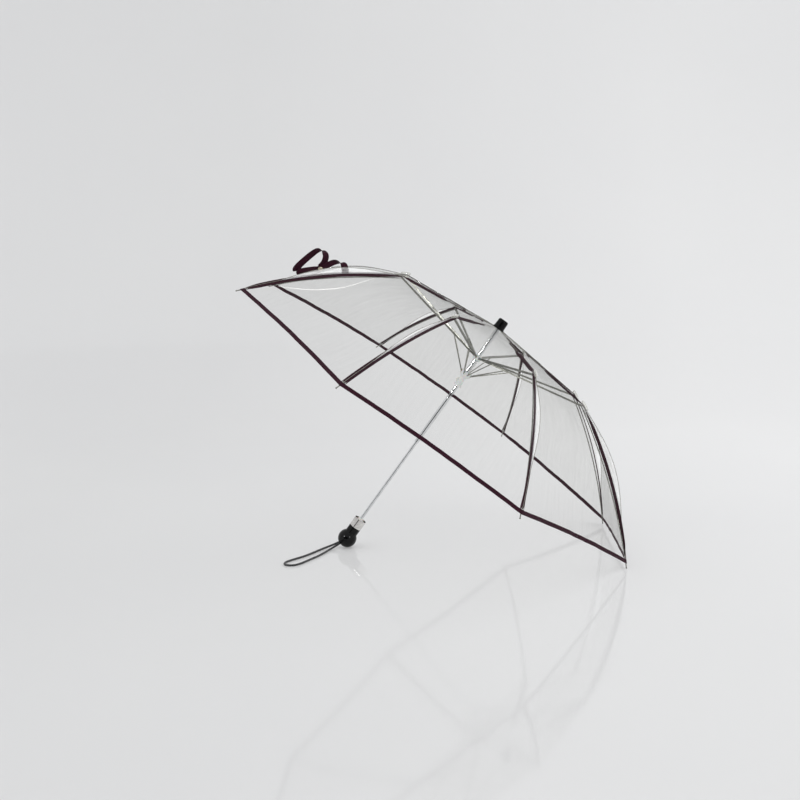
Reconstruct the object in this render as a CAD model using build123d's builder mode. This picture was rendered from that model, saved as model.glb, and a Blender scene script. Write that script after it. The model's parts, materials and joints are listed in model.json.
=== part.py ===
from build123d import *
import os
from math import asin, atan2, cos, hypot, pi, radians, sin, tan

os.makedirs("parts", exist_ok=True)

# A clear folding umbrella, open, lying on its ball handle and its two lowest rib tips.
# Millimetres. Every sub-part is drawn in the umbrella's own frame: w runs up the shaft from
# the canopy's apex, r runs out from the shaft, and the azimuth turns about the shaft.
# The meridian planes below lay that frame down, so each part is made where it rests.

# Canopy: the seams run from the cap out to the knees, and then down to the rib tips
RIBS = 8
PITCH = 360 / RIBS
FIRST_AZIMUTH = PITCH / 2
TIP_R, TIP_W = 500, -222
KNEE_R, KNEE_W = 241, -22
FOLD_R = 130  # where the slack top of the canopy folds double
TOP_INNER_R = 15
CANOPY_THICK = 0.6
CANOPY_GAP = 0.3
SEAM_BOW = 15  # how far the outer seam stands out from its chord

# Ribs: an arm from the carrier to the knee, an outer rib from the knee to the tip
CARRIER_R, CARRIER_W = 7.2, -75
HINGE_R, HINGE_W = 239, -27
RIB_END_R, RIB_END_W = 504.8, -228.8
RIB_END_BALL = 1.6
ARM_WIDTH, ARM_HEIGHT, ARM_WALL = 3.6, 3.6, 0.6
ARM_TONGUE = 14
STRETCHER_AT = 70  # along the arm
ROD_R, ROD_BOW = 1.1, 11.5
PIN_R, PIN_CLEARANCE = 0.6, 0.05

# Stretchers, from the runner to the arms
RUNNER_R, RUNNER_W = 11.2, -117.5
STRETCHER_THICK, STRETCHER_HEIGHT = 1.2, 2.2

# Shaft: the lower tube telescopes in the upper one
UPPER_R, UPPER_BORE, UPPER_END = 4.8, 4.1, -296
NECK_BORE, NECK_LONG = 3.45, 8
LOWER_R, LOWER_BORE, LOWER_TOP = 3.4, 2.8, -274
LOWER_COLLAR_R, LOWER_COLLAR_LONG = 4.05, 10
SLEEVE_BORE = 4.85

# Handle
CUP_R, CUP_WALL, CUP_RIM, CUP_BASE = 13.5, 1.0, -502, -522
BALL_R, BALL_W = 20, -552.5
NECK_R = 13.2

# Cap
CAP_R, CAP_HIGH = 12, 21

# Wrist cord and closure strap
CORD_R = 2.2
STRAP_WIDE, STRAP_THICK = 14, 0.8
SNAP_R = 5


def lean():
    """The tilt from upright, in degrees, at which the ball and two rib tips share the floor."""
    across = RIB_END_R * cos(radians(PITCH / 2))
    down = RIB_END_W - BALL_W
    return atan2(down, across) + asin((BALL_R - RIB_END_BALL) / hypot(across, down))


LEAN = lean()
APEX_Z = BALL_R - BALL_W * cos(LEAN)
APEX_X = -RIB_END_W * sin(LEAN)
shaft_frame = Plane(
    origin=(APEX_X, 0, APEX_Z),
    x_dir=(cos(LEAN), 0, -sin(LEAN)),
    z_dir=(sin(LEAN), 0, cos(LEAN)),
)
shaft_axis = Axis(shaft_frame.origin, shaft_frame.z_dir)


def meridian(azimuth):
    """The plane through the shaft at this azimuth, with x along r and y along w."""
    angle = radians(azimuth)
    radial = shaft_frame.x_dir * cos(angle) + shaft_frame.y_dir * sin(angle)
    return Plane(shaft_frame.origin, x_dir=radial, z_dir=radial.cross(shaft_frame.z_dir))


def along(azimuth, start, end):
    """The meridian plane, moved to start with its x towards end. Both are (r, w)."""
    flat = meridian(azimuth)
    origin = flat.from_local_coords(Vector(*start, 0))
    ahead = flat.from_local_coords(Vector(*end, 0)) - origin
    return Plane(origin=origin, x_dir=ahead, z_dir=flat.z_dir)


def level(w):
    """The plane across the shaft at height w."""
    return shaft_frame.offset(w)


def place(u, v, w):
    """A point of the umbrella's frame, in the row frame."""
    return shaft_frame.from_local_coords(Vector(u, v, w))


def save(part, name):
    part.label = name
    export_step(part, f"parts/{name}.step")


def azimuths():
    return [(i + 1, FIRST_AZIMUTH + PITCH * i) for i in range(RIBS)]


# ---------------------------------------------------------------- shaft

with BuildPart() as upper_tube:
    with BuildSketch(meridian(0)):
        Polygon(
            (UPPER_BORE, -2),
            (UPPER_R, -2),
            (UPPER_R, UPPER_END),
            (NECK_BORE, UPPER_END),
            (NECK_BORE, UPPER_END + NECK_LONG),
            (UPPER_BORE, UPPER_END + NECK_LONG + 1),
            align=None,
        )
    revolve(axis=shaft_axis)
save(upper_tube.part, "upper_tube")

CAP_FLANGE_R, CAP_SPIGOT_R, CAP_ROUND = CAP_R + 0.6, 4.05, 4
with BuildPart() as cap:
    with BuildSketch(meridian(0)):
        Polygon(
            (0, -16),
            (CAP_SPIGOT_R, -16),
            (CAP_SPIGOT_R, -1.5),
            (CAP_FLANGE_R, -1.5),
            (CAP_FLANGE_R, 1),
            (CAP_R - 0.4, 3.5),
            (CAP_R - 0.9, CAP_HIGH),
            (0, CAP_HIGH),
            align=None,
        )
    revolve(axis=shaft_axis)
    fillet(cap.edges().filter_by(GeomType.CIRCLE).sort_by(shaft_axis)[-1], CAP_ROUND)
save(cap.part, "cap")

with BuildPart() as lower_tube:
    with BuildSketch(meridian(0)):
        Polygon(
            (LOWER_BORE, LOWER_TOP),
            (LOWER_COLLAR_R, LOWER_TOP),
            (LOWER_COLLAR_R, LOWER_TOP - LOWER_COLLAR_LONG),
            (LOWER_R, LOWER_TOP - LOWER_COLLAR_LONG - 1),
            (LOWER_R, CUP_BASE),
            (LOWER_BORE, CUP_BASE),
            align=None,
        )
    revolve(axis=shaft_axis)
save(lower_tube.part, "lower_tube")

# ---------------------------------------------------------------- carrier and runner

CARRIER_DISC_R, CARRIER_HALF = 8.9, 6
SLOT_WIDE = 2.1
with BuildPart() as rib_carrier:
    with BuildSketch(level(CARRIER_W - CARRIER_HALF)):
        Circle(CARRIER_DISC_R)
        Circle(SLEEVE_BORE, mode=Mode.SUBTRACT)
    extrude(amount=2 * CARRIER_HALF)
    chamfer(rib_carrier.edges().filter_by(GeomType.CIRCLE).group_by(SortBy.RADIUS)[-1], 0.6)
    for _, azimuth in azimuths():
        with BuildSketch(meridian(azimuth)):
            with Locations((CARRIER_R + 3.4, CARRIER_W + 2.4)):
                Rectangle(10, 10)
        extrude(amount=SLOT_WIDE / 2, both=True, mode=Mode.SUBTRACT)
    for _, azimuth in azimuths():
        with BuildSketch(meridian(azimuth)):
            with Locations((CARRIER_R, CARRIER_W)):
                Circle(PIN_R)
        extrude(amount=SLOT_WIDE / 2 + 0.3, both=True)
save(rib_carrier.part, "rib_carrier")

RUNNER_DISC_R, RUNNER_TOP, RUNNER_FOOT = 12.7, -111.5, -148
RUNNER_SLEEVE_R, RUNNER_RIM_R = 6.8, 9
BUTTON_R, BUTTON_W = 2.0, -136
with BuildPart() as runner:
    with BuildSketch(meridian(0)):
        Polygon(
            (SLEEVE_BORE, RUNNER_TOP),
            (RUNNER_DISC_R, RUNNER_TOP),
            (RUNNER_DISC_R, RUNNER_TOP - 9.5),
            (RUNNER_SLEEVE_R, RUNNER_TOP - 14),
            (RUNNER_SLEEVE_R, RUNNER_FOOT + 5),
            (RUNNER_RIM_R, RUNNER_FOOT + 2.5),
            (RUNNER_RIM_R, RUNNER_FOOT),
            (SLEEVE_BORE, RUNNER_FOOT),
            align=None,
        )
    revolve(axis=shaft_axis)
    for _, azimuth in azimuths():
        with BuildSketch(meridian(azimuth)):
            with Locations((RUNNER_R + 3.2, RUNNER_W + 2.8)):
                Rectangle(10, 9)
        extrude(amount=0.9, both=True, mode=Mode.SUBTRACT)
    for _, azimuth in azimuths():
        with BuildSketch(meridian(azimuth)):
            with Locations((RUNNER_R, RUNNER_W)):
                Circle(PIN_R)
        extrude(amount=1.2, both=True)
    with BuildSketch(meridian(180)):
        with Locations((6.9, BUTTON_W)):
            Rectangle(3.4, 7)
    extrude(amount=3.5, both=True)
    with BuildSketch(Plane(place(-5, 0, BUTTON_W), z_dir=-shaft_frame.x_dir)):
        Circle(BUTTON_R + PIN_CLEARANCE)
    extrude(amount=5, mode=Mode.SUBTRACT)
save(runner.part, "runner")

with BuildPart() as runner_button:
    with BuildSketch(Plane(place(-6.3, 0, BUTTON_W), z_dir=-shaft_frame.x_dir)):
        Circle(BUTTON_R)
    extrude(amount=3.6)
    fillet(runner_button.edges().sort_by(Axis(place(0, 0, 0), -shaft_frame.x_dir))[-1], 0.5)
save(runner_button.part, "runner_button")

SPRING_WIRE, SPRING_R, SPRING_TURNS = 0.45, 6.0, 7
SPRING_FOOT = RUNNER_TOP + SPRING_WIRE + 0.3
SPRING_HIGH = CARRIER_W - CARRIER_HALF - SPRING_WIRE - 0.3 - SPRING_FOOT
with BuildPart() as opening_spring:
    with BuildLine():
        coil = Helix(
            pitch=SPRING_HIGH / SPRING_TURNS,
            height=SPRING_HIGH,
            radius=SPRING_R,
            center=place(0, 0, SPRING_FOOT),
            direction=shaft_frame.z_dir,
        )
    with BuildSketch(Plane(origin=coil @ 0, z_dir=coil % 0)):
        Circle(SPRING_WIRE)
    sweep(is_frenet=True)
save(opening_spring.part, "opening_spring")

# ---------------------------------------------------------------- ribs

HUB_PIVOT, KNEE_PIVOT = (CARRIER_R, CARRIER_W), (HINGE_R, HINGE_W)
RIB_END = (RIB_END_R, RIB_END_W)
ARM_LONG = hypot(HINGE_R - CARRIER_R, HINGE_W - CARRIER_W)
ROD_LONG = hypot(RIB_END_R - HINGE_R, RIB_END_W - HINGE_W)
CHANNEL_FROM, CHANNEL_PAST = 12, 2.6
EYE_R = 1.6
for number, azimuth in azimuths():
    # A folded steel channel, open below, on a flat tongue that turns in the carrier
    with BuildPart() as arm:
        line = along(azimuth, HUB_PIVOT, KNEE_PIVOT)
        channel_long = ARM_LONG + CHANNEL_PAST - CHANNEL_FROM
        with BuildSketch(line):
            with Locations((CHANNEL_FROM + channel_long / 2, 0)):
                Rectangle(channel_long, ARM_HEIGHT)
        extrude(amount=ARM_WIDTH / 2, both=True)
        with BuildSketch(line):
            with Locations((CHANNEL_FROM + channel_long / 2, -ARM_WALL)):
                Rectangle(channel_long, ARM_HEIGHT)
            with Locations((STRETCHER_AT - 3, 0)):
                Rectangle(34, 2 * ARM_HEIGHT)
            with Locations((ARM_LONG, 0)):
                Rectangle(16, 2 * ARM_HEIGHT)
        extrude(amount=ARM_WIDTH / 2 - ARM_WALL, both=True, mode=Mode.SUBTRACT)
        with BuildSketch(line):
            with Locations((ARM_TONGUE / 2 + 1, 0)):
                Rectangle(ARM_TONGUE + 2, 2 * EYE_R - 0.2)
            Circle(EYE_R)
        extrude(amount=0.9, both=True)
        with BuildSketch(line):
            with Locations((ARM_TONGUE + 0.5, 0)):
                Rectangle(3, 2 * EYE_R - 0.2)
        extrude(amount=ARM_WIDTH / 2 - ARM_WALL / 2, both=True)
        with BuildSketch(line):
            Circle(PIN_R + PIN_CLEARANCE)
        extrude(amount=2, both=True, mode=Mode.SUBTRACT)
        with BuildSketch(line):
            with Locations((ARM_LONG, 0)):
                Circle(PIN_R)
        extrude(amount=ARM_WIDTH / 2 + 0.3, both=True)
    save(arm.part, f"arm_{number}")

    # A round steel rod, bowed outwards, with an eye at the knee and a small ball past the hem
    with BuildPart() as outer_rib:
        line = along(azimuth, KNEE_PIVOT, RIB_END)
        with BuildLine(line) as rod_line:
            SagittaArc((0, 0), (ROD_LONG, 0), ROD_BOW)
        with BuildSketch(Plane(origin=rod_line.line @ 0, z_dir=rod_line.line % 0)):
            Circle(ROD_R)
        sweep(path=rod_line.line)
        with BuildSketch(line):
            Circle(EYE_R)
        extrude(amount=ROD_R, both=True)
        with BuildSketch(line):
            Circle(PIN_R + PIN_CLEARANCE)
        extrude(amount=2, both=True, mode=Mode.SUBTRACT)
        with Locations(Plane(origin=rod_line.line @ 1, z_dir=rod_line.line % 1)):
            Sphere(RIB_END_BALL)
    save(outer_rib.part, f"outer_rib_{number}")

    # A flat strip from the runner's slot up into the arm's channel
    with BuildPart() as stretcher:
        reach = STRETCHER_AT / ARM_LONG
        meeting = (
            CARRIER_R + reach * (HINGE_R - CARRIER_R),
            CARRIER_W + reach * (HINGE_W - CARRIER_W),
        )
        line = along(azimuth, (RUNNER_R, RUNNER_W), meeting)
        strip_long = hypot(meeting[0] - RUNNER_R, meeting[1] - RUNNER_W)
        with BuildSketch(line):
            with Locations((strip_long / 2, 0)):
                SlotCenterToCenter(strip_long, STRETCHER_HEIGHT)
            Circle(1.4)
            Circle(PIN_R + PIN_CLEARANCE, mode=Mode.SUBTRACT)
        extrude(amount=STRETCHER_THICK / 2, both=True)
    save(stretcher.part, f"stretcher_{number}")

# ---------------------------------------------------------------- canopy


def canopy_ring(*rings):
    """An eight-sided shell through some rings, each given as (r, w) at its seams."""
    with BuildPart() as shell:
        for lift, mode in ((CANOPY_THICK * 1.3, Mode.ADD), (0, Mode.SUBTRACT)):
            for r, w in rings:
                with BuildSketch(level(w + lift)):
                    RegularPolygon(r, RIBS, rotation=FIRST_AZIMUTH)
            loft(ruled=True, mode=mode)
        with BuildSketch(level(rings[-1][1])):
            RegularPolygon(rings[0][0], RIBS, rotation=FIRST_AZIMUTH)
        extrude(amount=rings[0][1] - rings[-1][1] + 10, mode=Mode.SUBTRACT)
    return shell


def gore(ring, azimuth, reach):
    """The share of a ring that one rib carries: half a panel on each side of its seam."""
    edge = CANOPY_GAP / 2 / sin(radians(PITCH / 2))
    side = reach / cos(radians(PITCH / 2))
    with BuildPart() as piece:
        add(ring.part)
        with BuildSketch(level(-400)):
            with Locations(Rotation(0, 0, azimuth)):
                with Locations((edge, 0)):
                    Polygon(
                        (0, 0),
                        (side * cos(radians(PITCH / 2)), -side * sin(radians(PITCH / 2))),
                        (side * cos(radians(PITCH / 2)), side * sin(radians(PITCH / 2))),
                        align=None,
                    )
        extrude(amount=500, mode=Mode.INTERSECT)
    return piece


def top_seam(r):
    """A point (r, w) of the straight seam between the cap and the knee."""
    return r, KNEE_W * r / KNEE_R


def outer_seam(share):
    """A point (r, w) of the bowed seam, from the knee at 0 to the tip at 1."""
    chord_r, chord_w = TIP_R - KNEE_R, TIP_W - KNEE_W
    bow = 4 * SEAM_BOW * share * (1 - share) / hypot(chord_r, chord_w)
    return (
        KNEE_R + share * chord_r - bow * chord_w,
        KNEE_W + share * chord_w + bow * chord_r,
    )


top_ring = canopy_ring(top_seam(TOP_INNER_R), top_seam(FOLD_R - CANOPY_GAP))
middle_ring = canopy_ring(top_seam(FOLD_R + CANOPY_GAP), top_seam(KNEE_R - 1))
outer_ring = canopy_ring(*(outer_seam(share) for share in (0.008, 0.25, 0.5, 0.75, 1)))
for number, azimuth in azimuths():
    save(gore(top_ring, azimuth, 2 * KNEE_R).part, f"canopy_top_{number}")
    save(gore(middle_ring, azimuth, 2 * KNEE_R).part, f"canopy_middle_{number}")
    save(gore(outer_ring, azimuth, 2 * TIP_R).part, f"canopy_outer_{number}")

# ---------------------------------------------------------------- handle

with BuildPart() as handle_cup:
    with BuildSketch(meridian(0)):
        Polygon(
            (LOWER_R + 0.05, CUP_BASE),
            (CUP_R, CUP_BASE),
            (CUP_R, CUP_RIM),
            (CUP_R - CUP_WALL, CUP_RIM),
            (CUP_R - CUP_WALL, CUP_BASE + 2.5),
            (LOWER_R + 0.05, CUP_BASE + 2.5),
            align=None,
        )
    revolve(axis=shaft_axis)
save(handle_cup.part, "handle_cup")

with BuildPart() as handle_ball:
    with Locations(level(BALL_W)):
        Sphere(BALL_R)
    with BuildSketch(level(CUP_BASE)):
        Circle(NECK_R)
    extrude(amount=BALL_W - CUP_BASE)
save(handle_ball.part, "handle_ball")

# ---------------------------------------------------------------- wrist cord

# A loop from one side of the ball's foot, out over the floor and back, in the row frame
CORD_LIES = CORD_R + 0.2
CORD_ROUTE = [
    (-209.5, -0.5, 12),
    (-222.5, -3, 6.4),
    (-237, -12, CORD_LIES + 0.6),
    (-249, -32, CORD_LIES),
    (-261, -58, CORD_LIES),
    (-277, -88, CORD_LIES),
    (-296, -112, CORD_LIES),
    (-309, -133, CORD_LIES),
    (-306, -153, CORD_LIES),
    (-288, -158, CORD_LIES),
    (-274, -143, CORD_LIES),
    (-262, -116, CORD_LIES),
    (-247, -86, CORD_LIES),
    (-236, -56, CORD_LIES),
    (-229, -34, CORD_LIES + 0.4),
    (-219, -18, 5.6),
    (-207.5, -8.5, 11),
]


def cord_radii(route, share=0.45):
    """The largest arc at each corner that leaves its two runs room."""
    radii = []
    for before, at, after in zip(route, route[1:], route[2:]):
        run_in, run_out = Vector(*at) - Vector(*before), Vector(*after) - Vector(*at)
        half_turn = radians(run_in.get_angle(run_out)) / 2
        radii.append(share * min(run_in.length, run_out.length) / tan(half_turn))
    return radii


radii = cord_radii(CORD_ROUTE)
print("cord radii", [round(radius) for radius in radii])
with BuildPart() as wrist_cord:
    with BuildLine() as cord_line:
        FilletPolyline(*CORD_ROUTE, radius=radii)
    with BuildSketch(Plane(origin=cord_line.line @ 0, z_dir=cord_line.line % 0)):
        Circle(CORD_R)
    sweep(path=cord_line.line)
cord_long = cord_line.wire().length
print("cord length", cord_long, "volume", wrist_cord.part.volume)
print("section times length", pi * CORD_R**2 * cord_long)
save(wrist_cord.part, "wrist_cord")

# ---------------------------------------------------------------- closure strap

# A ribbon stands up along its seam, twists back through its snap and runs round an open loop.
# Each row is a point of its centreline and the way its width points, in the row frame.
STRAP = [
    ((-167.5, -131.6, 586.7), (0.95, 0.31, 0.01)),
    ((-168, -131.2, 594), (0.95, 0.31, 0)),
    ((-170, -130.5, 602), (0.93, 0.34, -0.1)),
    ((-177, -130, 607), (0.8, 0.5, -0.33)),
    ((-188, -130, 608.5), (0.6, 0.6, -0.52)),
    ((-201, -130, 604), (0.5, 0.6, -0.62)),
    ((-217, -130, 597), (0.45, 0.62, -0.64)),
    ((-230, -130, 596), (0.42, 0.65, -0.63)),
    ((-246, -130, 594), (0.45, 0.6, -0.66)),
    ((-259, -130, 591.2), (0.55, 0.4, -0.73)),
    ((-264, -130, 592), (0.6, 0.35, -0.72)),
    ((-265.5, -130, 596.5), (0.6, 0.35, -0.72)),
    ((-256, -130, 607), (0.55, 0.5, -0.67)),
    ((-235, -130, 624), (0.5, 0.6, -0.62)),
    ((-221, -130, 632.5), (0.4, 0.75, -0.5)),
    ((-211, -130, 631), (0.6, 0.78, -0.2)),
    ((-205.5, -130, 622), (0.78, 0.62, 0)),
    ((-208, -130, 611), (0.75, 0.62, -0.2)),
    ((-214.5, -130, 602.5), (0.6, 0.62, -0.5)),
    ((-218.5, -130, 599.3), (0.5, 0.62, -0.6)),
]
SNAP_AT = 6


def strap_plane(index):
    """The section plane at one of the strap's points, between the runs that meet there."""
    point, across = STRAP[index]
    before, after = STRAP[max(index - 1, 0)][0], STRAP[min(index + 1, len(STRAP) - 1)][0]
    ahead = (Vector(*after) - Vector(*before)).normalized()
    side = Vector(*across)
    return Plane(origin=point, x_dir=side - ahead * side.dot(ahead), z_dir=ahead)


def triangle(*corners):
    return Face(Wire.make_polygon(corners, close=True))


# The ribbon twists, so its sides are triangles between one section's corners and the next's
HALF_WIDE, HALF_THICK = STRAP_WIDE / 2, STRAP_THICK / 2
CORNERS = [
    (-HALF_WIDE, -HALF_THICK),
    (HALF_WIDE, -HALF_THICK),
    (HALF_WIDE, HALF_THICK),
    (-HALF_WIDE, HALF_THICK),
]
sections = [
    [strap_plane(index).from_local_coords(Vector(x, y, 0)) for x, y in CORNERS]
    for index in range(len(STRAP))
]
first, last = sections[0], sections[-1]
sides = [
    triangle(first[2], first[1], first[0]),
    triangle(first[3], first[2], first[0]),
    triangle(last[0], last[1], last[2]),
    triangle(last[0], last[2], last[3]),
]
for here, there in zip(sections, sections[1:]):
    for corner in (0, 1, 3):
        beside = (corner + 1) % 4
        sides.append(triangle(here[corner], here[beside], there[beside]))
        sides.append(triangle(here[corner], there[beside], there[corner]))
    sides.append(triangle(here[2], here[3], there[2]))  # split as the side below it is
    sides.append(triangle(here[3], there[3], there[2]))
with BuildPart() as closure_strap:
    add(Solid(Shell(sides)))
save(closure_strap.part, "closure_strap")

snapped = strap_plane(SNAP_AT)
below = snapped.y_dir if snapped.y_dir.Z < 0 else -snapped.y_dir
with BuildPart() as strap_snap:
    with BuildSketch(Plane(snapped.origin + below * (STRAP_THICK / 2 - 0.05), z_dir=below)):
        Circle(SNAP_R)
    extrude(amount=2.2)
    chamfer(strap_snap.edges().filter_by(GeomType.CIRCLE).sort_by(Axis(snapped.origin, below))[-1], 0.5)
save(strap_snap.part, "strap_snap")
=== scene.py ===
import json
from math import cos, hypot, pi, radians, sin

import bpy
from mathutils import Matrix, Vector, noise


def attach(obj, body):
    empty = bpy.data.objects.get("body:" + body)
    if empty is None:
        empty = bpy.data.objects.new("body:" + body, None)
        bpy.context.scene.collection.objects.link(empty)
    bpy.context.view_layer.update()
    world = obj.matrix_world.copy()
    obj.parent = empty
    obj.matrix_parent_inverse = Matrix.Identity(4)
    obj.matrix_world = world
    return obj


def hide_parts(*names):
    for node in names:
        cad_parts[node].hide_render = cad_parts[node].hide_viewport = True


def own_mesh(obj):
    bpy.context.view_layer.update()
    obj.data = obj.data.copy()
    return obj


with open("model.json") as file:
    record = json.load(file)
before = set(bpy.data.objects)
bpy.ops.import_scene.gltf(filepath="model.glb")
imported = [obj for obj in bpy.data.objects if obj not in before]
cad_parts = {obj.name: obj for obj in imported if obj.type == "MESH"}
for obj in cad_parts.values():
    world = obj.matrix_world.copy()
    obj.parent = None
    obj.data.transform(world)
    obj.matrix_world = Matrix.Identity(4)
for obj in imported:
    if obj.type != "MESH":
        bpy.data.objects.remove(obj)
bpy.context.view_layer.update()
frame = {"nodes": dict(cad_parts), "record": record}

# ---------------------------------------------------------------- dimensions, in mm
# Everything is drawn in the umbrella's own frame, as in the CAD: w up the shaft from the
# canopy's apex, r out from the shaft, and the azimuth about it. Leans are in degrees.

MM = 0.001
MM_PER_CM, CM_PER_M = 10, 100
RIBS = 8
PITCH = 360 / RIBS
HALF = radians(PITCH / 2)
CAP_HIGH = 21
TIP_R, TIP_W = 500, -222
KNEE_R, KNEE_W = 241, -22
HINGE_R, HINGE_W = 239, -27
ARM_ROOT_R, ARM_ROOT_W = 7.2, -75
FOLD_R = 130
TOP_INNER_R = 11
SEAM_BOW = 15

mount = frame["record"]["mounts"][0]
UP = Vector(mount["axis"]).normalized()
APEX = Vector(mount["pos_m"]) - UP * CAP_HIGH * MM
OUT = Vector((UP.z, 0, -UP.x))
SIDE = Vector((0, 1, 0))


def radial(azimuth):
    return OUT * cos(azimuth) + SIDE * sin(azimuth)


def tangent(azimuth):
    return SIDE * cos(azimuth) - OUT * sin(azimuth)


def at(azimuth, r, w, t=0.0):
    """A point r out, w up and t sideways at this azimuth (in radians), in the row frame."""
    return APEX + (radial(azimuth) * r + tangent(azimuth) * t + UP * w) * MM


def ribs():
    """Each rib's number and azimuth."""
    return [(i + 1, radians(PITCH * (i + 0.5))) for i in range(RIBS)]


def clamp(value, low=0.0, high=1.0):
    return max(low, min(high, value))


def spread(start, end, count):
    """Evenly spaced numbers, with both ends."""
    return [start + (end - start) * k / (count - 1) for k in range(count)]


# ---------------------------------------------------------------- meshes

SELVEDGE_THICK, EDGE_THICK = 1.25, 0.6  # of a ribbon, as shares of its thickness


def new_piece(name, points, faces, material, uvs=None):
    mesh = bpy.data.meshes.new(name)
    mesh.from_pydata(points, [], faces)
    if uvs:
        layer = mesh.uv_layers.new(name="UVMap")
        for loop in mesh.loops:
            layer.data[loop.index].uv = uvs[loop.vertex_index]
    for polygon in mesh.polygons:
        polygon.use_smooth = True
    mesh.materials.append(material)
    piece = bpy.data.objects.new(name, mesh)
    bpy.context.scene.collection.objects.link(piece)
    return piece


def grid_faces(rows, columns, first=0, wrap=False):
    faces = []
    for i in range(rows - 1):
        for j in range(columns if wrap else columns - 1):
            a, b = first + i * columns + j, first + i * columns + (j + 1) % columns
            faces.append((a, b, b + columns, a + columns))
    return faces


def swept(name, path, section, material, closed=False, scale_at=None):
    """A closed section, in mm, swept along a path of (centre, across, normal).
    UVs run round the section and along the path, in centimetres."""
    around = [0.0]
    loop = section + section[:1]
    for (x0, y0), (x1, y1) in zip(loop, loop[1:]):
        around.append(around[-1] + hypot(x1 - x0, y1 - y0) / MM_PER_CM)
    points, uvs, run = [], [], 0.0
    count = len(section)
    for k, (centre, across, normal) in enumerate(path):
        if k:
            run += (centre - path[k - 1][0]).length * CM_PER_M
        scale = scale_at(k) if scale_at else 1.0
        for (x, y), u in zip(section, around):
            points.append(centre + (across * x + normal * y) * MM * scale)
            uvs.append((u, run))
    faces = grid_faces(len(path), count, wrap=True)
    last = (len(path) - 1) * count
    if closed:
        faces += [
            (last + j, last + (j + 1) % count, (j + 1) % count, j) for j in range(count)
        ]
    else:
        faces.append(tuple(reversed(range(count))))
        faces.append(tuple(range(last, last + count)))
    return new_piece(name, points, faces, material, uvs)


def circle_section(radius, count):
    return [
        (radius * cos(2 * pi * k / count), radius * sin(2 * pi * k / count))
        for k in range(count)
    ]


def ribbon_section(wide, thick, crown=0.0, across=8):
    """A flat woven ribbon: a shade thicker along its selvedges, and a little crowned."""
    shares = {0: EDGE_THICK, across: EDGE_THICK, 1: SELVEDGE_THICK, across - 1: SELVEDGE_THICK}
    top, bottom = [], []
    for k in range(across + 1):
        x = (k / across - 0.5) * wide
        rise = crown * (1 - (2 * x / wide) ** 2)
        half = thick / 2 * shares.get(k, 1)
        top.append((x, rise + half))
        bottom.append((x, rise - half))
    return bottom + top[::-1]


def frames(points, across):
    """Sweep frames along points, with a fixed or listed across direction."""
    path = []
    for k, point in enumerate(points):
        ahead = (points[min(k + 1, len(points) - 1)] - points[max(k - 1, 0)]).normalized()
        side = across[k] if isinstance(across, list) else across
        side = (side - ahead * side.dot(ahead)).normalized()
        path.append((point, side, side.cross(ahead).normalized()))
    return path


def lathe(name, profile, steps, material):
    """A profile of (r, w) turned about the shaft."""
    points, uvs = [], []
    for k in range(steps):
        angle = 2 * pi * k / steps
        for r, w in profile:
            points.append(at(angle, r, w))
            uvs.append((angle * 2, w / MM_PER_CM))
    count = len(profile)
    faces = []
    for k in range(steps):
        for j in range(count):
            a, b = k * count, (k + 1) % steps * count
            faces.append((a + j, a + (j + 1) % count, b + (j + 1) % count, b + j))
    return new_piece(name, points, faces, material, uvs)


# ---------------------------------------------------------------- materials
# Scales by UV are per centimetre along a piece, and scales by place are per metre.

RIBBON_RIB, RIBBON_THREAD = 0.085, 0.05  # pitches of the ribbon's weave, in cm
BRAID_PITCH, BRAID_STRANDS = 0.0045, 6  # pitch in m, and strands round the cord
FLOOR_MIRROR, FLOOR_ROUGH = 0.14, 0.07
GLOW_LEFT, GLOW_RIGHT = 0.19, 0.27  # the studio's own light, 1 m to each side of the middle
CARD_LEFT, CARD_RIGHT, CARD_FADE = -2.4, 1.0, 1.0
CARD_NEAR, CARD_TOP = (-1.3, -2.0), (1.7, 0.9)  # y and z, each from its edge to full black


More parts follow.
